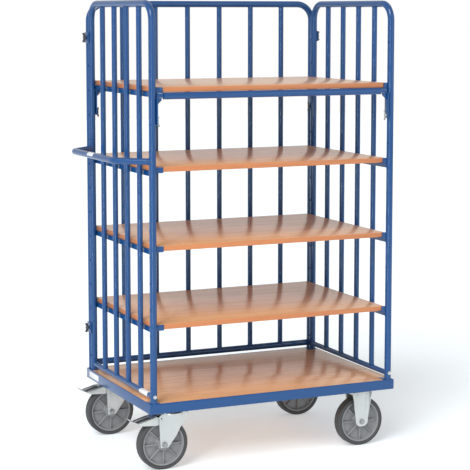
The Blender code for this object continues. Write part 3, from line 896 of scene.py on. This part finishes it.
def pressed_sheet(outline, centre, low_y, high_y, corner):
    """A flat plate cut to an outline of X and Z, its corners rounded."""
    bpy.ops.object.select_all(action="DESELECT")
    bpy.ops.mesh.primitive_circle_add(vertices=len(outline), radius=0.1, fill_type="NGON")
    obj = bpy.context.object
    for point, (x, z) in zip(obj.data.vertices, outline):
        point.co = (x, low_y, z)
    bpy.ops.object.mode_set(mode="EDIT")
    bpy.ops.mesh.select_all(action="SELECT")
    bpy.ops.mesh.extrude_region_move(TRANSFORM_OT_translate={"value": (0, high_y - low_y, 0)})
    bpy.ops.mesh.select_all(action="SELECT")
    bpy.ops.mesh.normals_make_consistent(inside=False)
    bpy.ops.mesh.select_mode(type="EDGE")
    bpy.ops.mesh.select_all(action="DESELECT")
    bpy.ops.object.mode_set(mode="OBJECT")
    for edge in obj.data.edges:
        a, b = (obj.data.vertices[v].co for v in edge.vertices)
        edge.select = abs(a.y - b.y) > abs(high_y - low_y) / 2
    bpy.ops.object.mode_set(mode="EDIT")
    bpy.ops.mesh.bevel(offset=corner, segments=4, clamp_overlap=True)
    bpy.ops.object.mode_set(mode="OBJECT")
    obj.location = centre
    settle(obj)
    return obj


# The axle bolts are zinc darkened as painted shade, so that their heads and nuts stand out from the
# fork.
AXLE_BOLT_PAINTED_SHADE = finish_of(
    "axle_bolt_painted_shade", (0.36, 0.37, 0.37), 0.85, Tone_spread=0.24, Patch_scale=60.0,
    Roughness=0.30, Roughness_spread=0.16, Grain_scale=700.0, Grain_height=0.06,
)


def axle_bolt(tag, body):
    low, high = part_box(f"axle_{tag}")
    centre = (low + high) / 2
    shaft = drum((centre.x, low.y, centre.z), (centre.x, high.y, centre.z), 0.006, 32)
    parts = [soften(shaft, 0.0006)]
    for side in (-1, 1):
        seat = (centre.x, side * (FORK_OUTER + 0.0003) + centre.y, centre.z)
        parts += hexagon(seat, (0, side, 0), 0.0105, 0.0072)
    install(gathered(parts), f"axle_bolt_{tag}", AXLE_BOLT_PAINTED_SHADE, [f"axle_{tag}"], body)


def fork_sides(outline, centre, corner):
    sides = []
    for side in (-1, 1):
        ys = sorted((side * FORK_OUTER, side * (FORK_OUTER - FORK_SHEET)))
        sides.append(pressed_sheet(outline, centre, ys[0], ys[1], corner))
    return sides


SEAL_RED = finish_of(
    "dull_red_seal", (0.16, 0.030, 0.022), Tone_spread=0.20, Patch_scale=60.0,
    Roughness=0.55, Roughness_spread=0.12, Grain_scale=900.0, Grain_height=0.15,
)


def plate(tag, ring_radius):
    """The mounting plate with its four bolts and, on a swivel caster, the ball race."""
    low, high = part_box(f"caster_plate_{tag}")
    centre = (low + high) / 2
    body = block((low.x, low.y, high.z - 0.006), high)
    parts = [soften(body, 0.0018, 3)]
    for sx in (-1, 1):
        for sy in (-1, 1):
            bolt_x = centre.x + sx * ((high.x - low.x) / 2 - 0.012)
            spot = (bolt_x, centre.y + sy * 0.031, high.z - 0.0062)
            parts += hexagon(spot, (0, 0, -1), 0.0075, 0.0055)
    if ring_radius:
        foot = (centre.x, centre.y, CROWN_TOP + 0.0004)
        race = drum(foot, (centre.x, centre.y, high.z - 0.004), ring_radius, 48)
        seal = bead((centre.x, centre.y, CROWN_TOP + 0.0026), UP, ring_radius - 0.0002, 0.0018)
        install(seal, f"race_seal_{tag}", SEAL_RED, ())
        parts.append(soften(race, 0.0010))
    install(gathered(parts), f"plate_{tag}", ZINC, [f"caster_plate_{tag}"])


SWIVEL_SIDE = [
    (-0.0175, -0.0110), (0.0145, -0.0110), (0.0475, 0.0320), (0.0665, 0.0670), (0.0805, 0.0840),
    (0.0985, 0.1160), (0.0985, 0.1215), (-0.0110, 0.1215), (-0.0225, 0.1120), (-0.0225, 0.0740),
]
FIXED_HALF = [(0.0120, -0.0195), (0.0260, -0.0080), (0.0350, 0.0680), (0.0430, 0.1215)]

TREAD_BLACK = finish_of(
    "black_pedal_tread", (0.030, 0.031, 0.033), Tone_spread=0.20, Patch_scale=40.0,
    Roughness=0.55, Roughness_spread=0.16, Grain_scale=900.0, Grain_height=0.25,
)


def brake_pedal(tag, body, pivot):
    """A pressed pedal: two cheeks in the fork, a plate with a raised lip and a black tread."""
    outer = FORK_OUTER - FORK_SHEET - 0.0006
    cheek = [
        (-0.0960, -0.0150), (-0.0780, -0.0230), (-0.0150, -0.0270), (0.0080, -0.0160),
        (0.0120, 0.0000), (0.0060, 0.0050), (-0.0150, 0.0050), (-0.0220, 0.0090),
        (-0.0440, 0.0030), (-0.0960, -0.0120),
    ]
    top = [
        (-0.1190, -0.0045), (-0.0960, -0.0145), (-0.0440, -0.0005), (-0.0200, 0.0063),
        (-0.0200, 0.0100), (-0.0440, 0.0035), (-0.0960, -0.0110), (-0.1180, -0.0014),
    ]
    parts = [soften(pressed_sheet(top, pivot, -outer, outer, 0.0006), 0.0004)]
    for side in (-1, 1):
        ys = sorted((side * outer, side * (outer - 0.0024)))
        parts.append(soften(pressed_sheet(cheek, pivot, ys[0], ys[1], 0.0016), 0.0004))
    pedal = gathered(parts)
    install(pedal, f"pedal_pressing_{tag}", ZINC, [f"brake_pedal_{tag}"], body)
    slope = atan2(0.0145, 0.052)
    strips = []
    for low_y, high_y in ((-0.0235, -0.0040), (0.0040, 0.0235)):
        strips.append(block((-0.0270, low_y, 0.0004), (0.0270, high_y, 0.0022)))
        for n in range(6):
            x = -0.0220 + n * 0.0088
            low = (x - 0.0014, low_y + 0.002, 0.002)
            strips.append(block(low, (x + 0.0014, high_y - 0.002, 0.0034)))
    ridge = block((-0.0280, -0.0030, 0.0002), (0.0280, 0.0030, 0.0045))
    pin = drum((0, -FORK_OUTER - 0.0002, 0), (0, FORK_OUTER + 0.0002, 0), 0.0027, 20)
    for piece in (*strips, ridge):
        soften(piece, 0.0005)
        piece.rotation_euler = (0, -slope, 0)
        piece.location = pivot + Vector((-0.0700, 0, -0.0040))
        settle(piece)
    pin.location = pivot
    settle(pin)
    soften(pin, 0.0005)
    install(ridge, f"pedal_ridge_{tag}", ZINC, (), body)
    install(gathered([*strips, pin]), f"pedal_tread_{tag}", TREAD_BLACK, (), body)


def bore(place, middle_y, radius, sides):
    """A cutter along Y through both sides of a fork."""
    start = (place.x, middle_y - 0.05, place.z)
    return drum(start, (place.x, middle_y + 0.05, place.z), radius, sides)


joints = {joint["name"]: joint for joint in frame["joints"]}
for tag in ("front_left", "rear_left"):
    body = f"swivel_{tag}"
    axle = Vector(joints[f"wheel_spin_{tag}"]["pos_m"])
    swivel = Vector(joints[f"swivel_turn_{tag}"]["pos_m"])
    pivot = Vector(joints[f"pedal_press_{tag}"]["pos_m"])
    plate(tag, SWIVEL_RING)
    sides = fork_sides(SWIVEL_SIDE, axle, 0.003)
    crown_foot = (swivel.x, swivel.y, CROWN_UNDER)
    crown = drum(crown_foot, (swivel.x, swivel.y, CROWN_TOP - 0.0004), 0.046, 48)
    bridge = block(
        (axle.x - 0.0105, axle.y - BRIDGE_HALF, CROWN_UNDER),
        (axle.x + 0.0980, axle.y + BRIDGE_HALF, CROWN_TOP - 0.0006),
    )
    fork = welded([sides[0], sides[1], bridge, crown])
    tools = [bore(axle, axle.y, AXLE_BORE, 32), bore(pivot, axle.y, PIN_BORE, 20)]
    welded([fork, *tools], "DIFFERENCE")
    soften(fork, 0.0008)
    install(fork, f"fork_pressing_{tag}", ZINC, [f"fork_{tag}"], body)
    axle_bolt(tag, body)
    brake_pedal(tag, f"pedal_{tag}", pivot)


def edge_flange(axle, side, way):
    """The edge of a fork side, turned outwards and widening up to the mounting plate."""
    low_z = 0.150
    high_z = CROWN_TOP - 0.0006
    xs = sorted((way * 0.0400, way * 0.0426))
    ys = sorted((side * (FORK_OUTER - 0.001), side * (FORK_OUTER + 0.0085)))
    flange = block(
        (axle.x + xs[0], axle.y + ys[0], low_z), (axle.x + xs[1], axle.y + ys[1], high_z)
    )
    for corner in flange.data.vertices:
        if corner.co.z < (low_z + high_z) / 2:
            corner.co.x -= way * 0.0082
            if abs(corner.co.y - axle.y) > FORK_OUTER:
                corner.co.y = axle.y + side * (FORK_OUTER + 0.0004)
    return soften(flange, 0.0006)


for tag in ("front_right", "rear_right"):
    axle = Vector(joints[f"wheel_spin_{tag}"]["pos_m"])
    plate(tag, 0)
    outline = [*FIXED_HALF, *[(-x, z) for x, z in reversed(FIXED_HALF)]]
    sides = fork_sides(outline, axle, 0.006)
    bridge = block(
        (axle.x - 0.0420, axle.y - BRIDGE_HALF, CROWN_UNDER),
        (axle.x + 0.0420, axle.y + BRIDGE_HALF, CROWN_TOP - 0.0006),
    )
    fork = welded([sides[0], sides[1], bridge])
    welded([fork, bore(axle, axle.y, AXLE_BORE, 32)], "DIFFERENCE")
    parts = [soften(fork, 0.0008)]
    for side in (-1, 1):
        for x in (-0.021, 0.021):
            ys = sorted((side * (FORK_OUTER - 0.0010), side * (FORK_OUTER + 0.0018)))
            rib = block(
                (axle.x + x - 0.0035, axle.y + ys[0], 0.135),
                (axle.x + x + 0.0035, axle.y + ys[1], 0.214),
            )
            parts.append(soften(rib, 0.0012, 3))
        for way in (-1, 1):
            parts.append(edge_flange(axle, side, way))
    install(gathered(parts), f"fork_pressing_{tag}", ZINC, [f"fork_{tag}"])
    axle_bolt(tag, "chassis")


# Labels: blank pale film stuck on the frame, on the bottom rail of the left wall and on the handle.
LABEL_FILM = finish_of(
    "blank_label_film", (0.80, 0.82, 0.84), Tone_spread=0.06, Patch_scale=30.0,
    Roughness=0.36, Roughness_spread=0.08, Grain_scale=600.0, Grain_height=0.03,
)

film = soften(between(-0.5303, -0.5298, 0.217, 0.326, 0.2445, 0.267), 0.0001)
install(film, "label_on_frame", LABEL_FILM)
rail_x = MIDDLE - POST_X
film = drum((rail_x, -0.300, RAIL_Z), (rail_x, -0.215, RAIL_Z), BAR / 2 + 0.0002, 32)
install(soften(film, 0.0001), "label_on_rail", LABEL_FILM)
grip_x = grip_front.x
film = drum((grip_x, -0.035, HANDLE_Z), (grip_x, 0.030, HANDLE_Z), HANDLE_SKIN, 48)
upper = block((grip_x - 0.02, -0.05, HANDLE_Z), (grip_x + 0.02, 0.05, HANDLE_Z + 0.02))
film = soften(welded([film, upper], "INTERSECT"), 0.0001)
install(film, "label_on_handle", LABEL_FILM)
